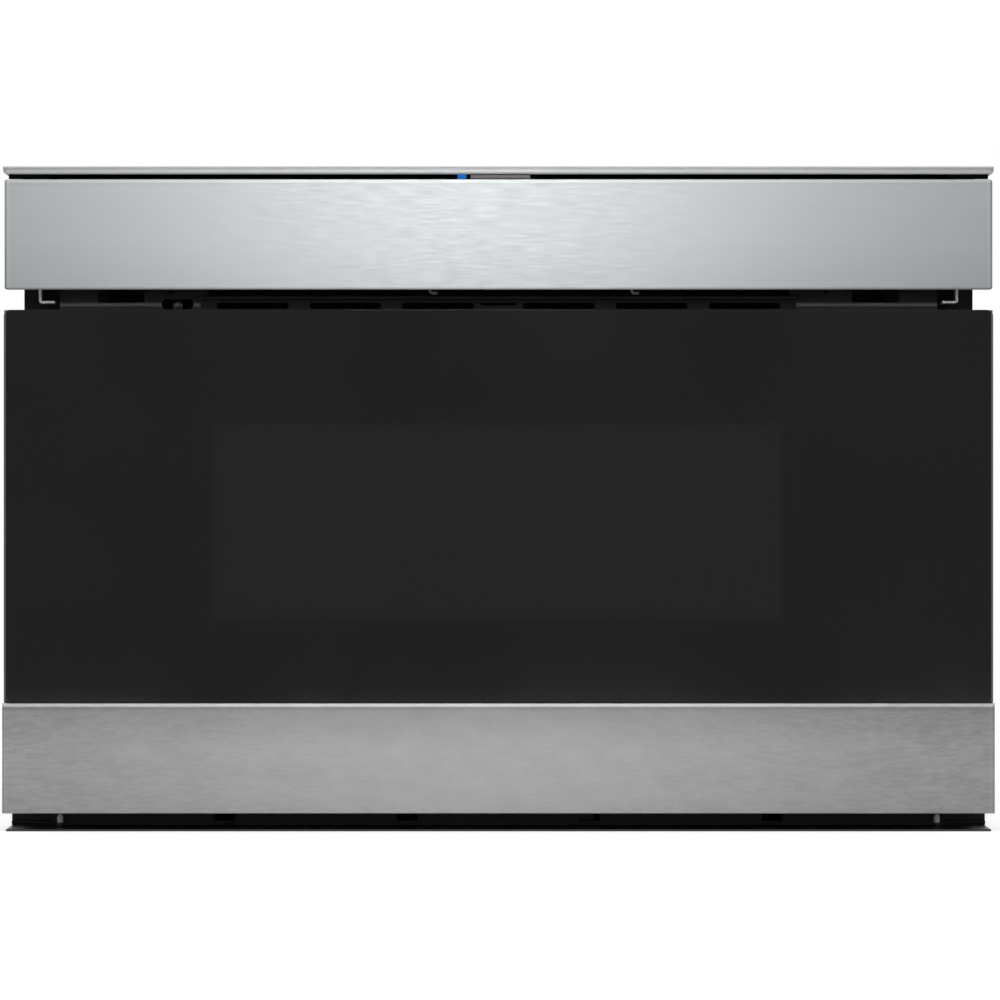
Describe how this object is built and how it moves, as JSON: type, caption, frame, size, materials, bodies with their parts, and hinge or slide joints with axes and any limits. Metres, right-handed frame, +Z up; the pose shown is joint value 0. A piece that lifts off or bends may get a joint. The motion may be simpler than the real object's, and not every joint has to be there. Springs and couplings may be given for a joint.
{
  "type": "microwave drawer",
  "caption": "Built-in microwave drawer: black glass door, brushed trims, tilting control panel, drawer on ball slides driven by rack and pinion.",
  "frame": {"origin": "middle of the footprint, on the floor under the part", "axes": "+X to the right seen from the front, +Y from the front to the back, the door faces -Y, +Z up"},
  "size_m": [0.607, 0.634, 0.4067],
  "materials": {
    "stainless": "brushed along the width",
    "zinc_steel": "galvanised sheet, dull spangle",
    "bright_zinc": "bright zinc plate",
    "black_steel": "black powder coat",
    "black_glass": "black gloss",
    "clear_glass": "clear polished pane",
    "ceramic_glass": "satin ceramic plate",
    "cavity_enamel": "grey enamel, smooth",
    "black_plastic": "fine moulded grain",
    "white_plastic": "satin moulded",
    "grey_satin": "satin silver",
    "blue_light": "lit light pipe",
    "white_nylon": "machined nylon",
    "rubber": "soft black",
    "aluminium": "mill finish",
    "motor_steel": "zinc plate, dull",
    "board_green": "solder mask",
    "mica": "pressed mica, pearly flecks",
    "core_steel": "varnished laminations"
  },
  "bodies": {
    "case": {"base_pan": "zinc_steel", "toe_rail": "black_steel", "stop_pins": "bright_zinc", "front_frame": "zinc_steel", "outer_case": "zinc_steel", "back_panel": "zinc_steel", "case_screws": "bright_zinc", "cord_gland": "black_plastic", "vent_grille": "black_plastic", "exhaust_duct": "black_plastic", "hook_clips": "white_plastic", "oven_cavity": "cavity_enamel", "slide_outers": "bright_zinc", "drive_motor": "motor_steel", "interlock_switches": "black_plastic", "tilt_motor": "motor_steel", "hinge_brackets": "bright_zinc", "hinge_pins": "bright_zinc", "top_trim": "stainless", "trim_carrier": "black_plastic", "status_led": "blue_light", "waveguide": "aluminium", "magnetron": "aluminium", "stirrer_motor": "motor_steel", "stirrer_cover": "mica", "hv_transformer": "core_steel", "hv_capacitor": "aluminium", "hv_diode": "black_plastic", "fan_housing": "black_plastic", "fan_motor": "motor_steel", "oven_lamp": "white_plastic", "power_board": "board_green"},
    "drawer": {"door_glass": "black_glass", "door_frame": "black_steel", "door_screen": "black_steel", "inner_window": "clear_glass", "choke_cover": "black_plastic", "lower_trim": "stainless", "door_bumpers": "rubber", "drawer_tub": "cavity_enamel", "floor_plate": "ceramic_glass", "slide_inners": "bright_zinc", "door_brackets": "zinc_steel", "rear_crossbar": "zinc_steel", "drive_rack": "white_nylon", "latch_hooks": "white_nylon"},
    "slide_middle": {"slide_middles": "bright_zinc"},
    "outer_cage": {"outer_ball_cages": "bright_zinc"},
    "inner_cage": {"inner_ball_cages": "bright_zinc"},
    "rack_pinion": {"drive_pinion": "white_nylon"},
    "control_panel": {"panel_front": "stainless", "panel_housing": "black_plastic", "touch_glass": "black_glass", "display_module": "black_plastic", "control_board": "board_green", "gear_sector": "white_nylon"},
    "panel_pinion": {"tilt_pinion": "white_nylon"},
    "press_bar": {"open_button": "grey_satin"},
    "fan_rotor": {"fan_impeller": "black_plastic"},
    "stirrer": {"stirrer_blade": "aluminium"}
  },
  "joints": [
    {"name": "drawer_slide", "type": "slide", "parent": "case", "child": "drawer", "axis": [0, -1, 0], "range_m": [0, 0.375]},
    {"name": "slide_middle_run", "type": "slide", "parent": "case", "child": "slide_middle", "axis": [0, -1, 0], "range_m": [0, 0.1875]},
    {"name": "outer_cage_run", "type": "slide", "parent": "case", "child": "outer_cage", "axis": [0, -1, 0], "range_m": [0, 0.09375]},
    {"name": "inner_cage_run", "type": "slide", "parent": "case", "child": "inner_cage", "axis": [0, -1, 0], "range_m": [0, 0.28125]},
    {"name": "rack_pinion_spin", "type": "hinge", "parent": "case", "child": "rack_pinion", "pos_m": [0, -0.245, 0.032], "axis": [1, 0, 0], "range_deg": [0, 1793]},
    {"name": "panel_tilt", "type": "hinge", "parent": "case", "child": "control_panel", "pos_m": [0, -0.291, 0.3614], "axis": [1, 0, 0], "range_deg": [0, 45]},
    {"name": "panel_pinion_spin", "type": "hinge", "parent": "case", "child": "panel_pinion", "pos_m": [0, -0.27686, 0.34726], "axis": [1, 0, 0], "range_deg": [-184, 0]},
    {"name": "open_button_press", "type": "slide", "parent": "case", "child": "press_bar", "axis": [0, 1, 0], "range_m": [0, 0.0015], "stiffness_N_per_m": 400},
    {"name": "fan_spin", "type": "hinge", "parent": "case", "child": "fan_rotor", "pos_m": [0, 0.2342, 0.235], "axis": [1, 0, 0], "continuous": true},
    {"name": "stirrer_spin", "type": "hinge", "parent": "case", "child": "stirrer", "pos_m": [0, -0.04, 0.288], "axis": [0, 0, 1], "continuous": true}
  ],
  "couplings": [
    {"joint": "slide_middle_run", "follows": "drawer_slide", "ratio": 0.5},
    {"joint": "outer_cage_run", "follows": "drawer_slide", "ratio": 0.25},
    {"joint": "inner_cage_run", "follows": "drawer_slide", "ratio": 0.75},
    {"joint": "rack_pinion_spin", "follows": "drawer_slide", "rad_per_m": 83.333},
    {"joint": "panel_pinion_spin", "follows": "panel_tilt", "ratio": -4}
  ]
}
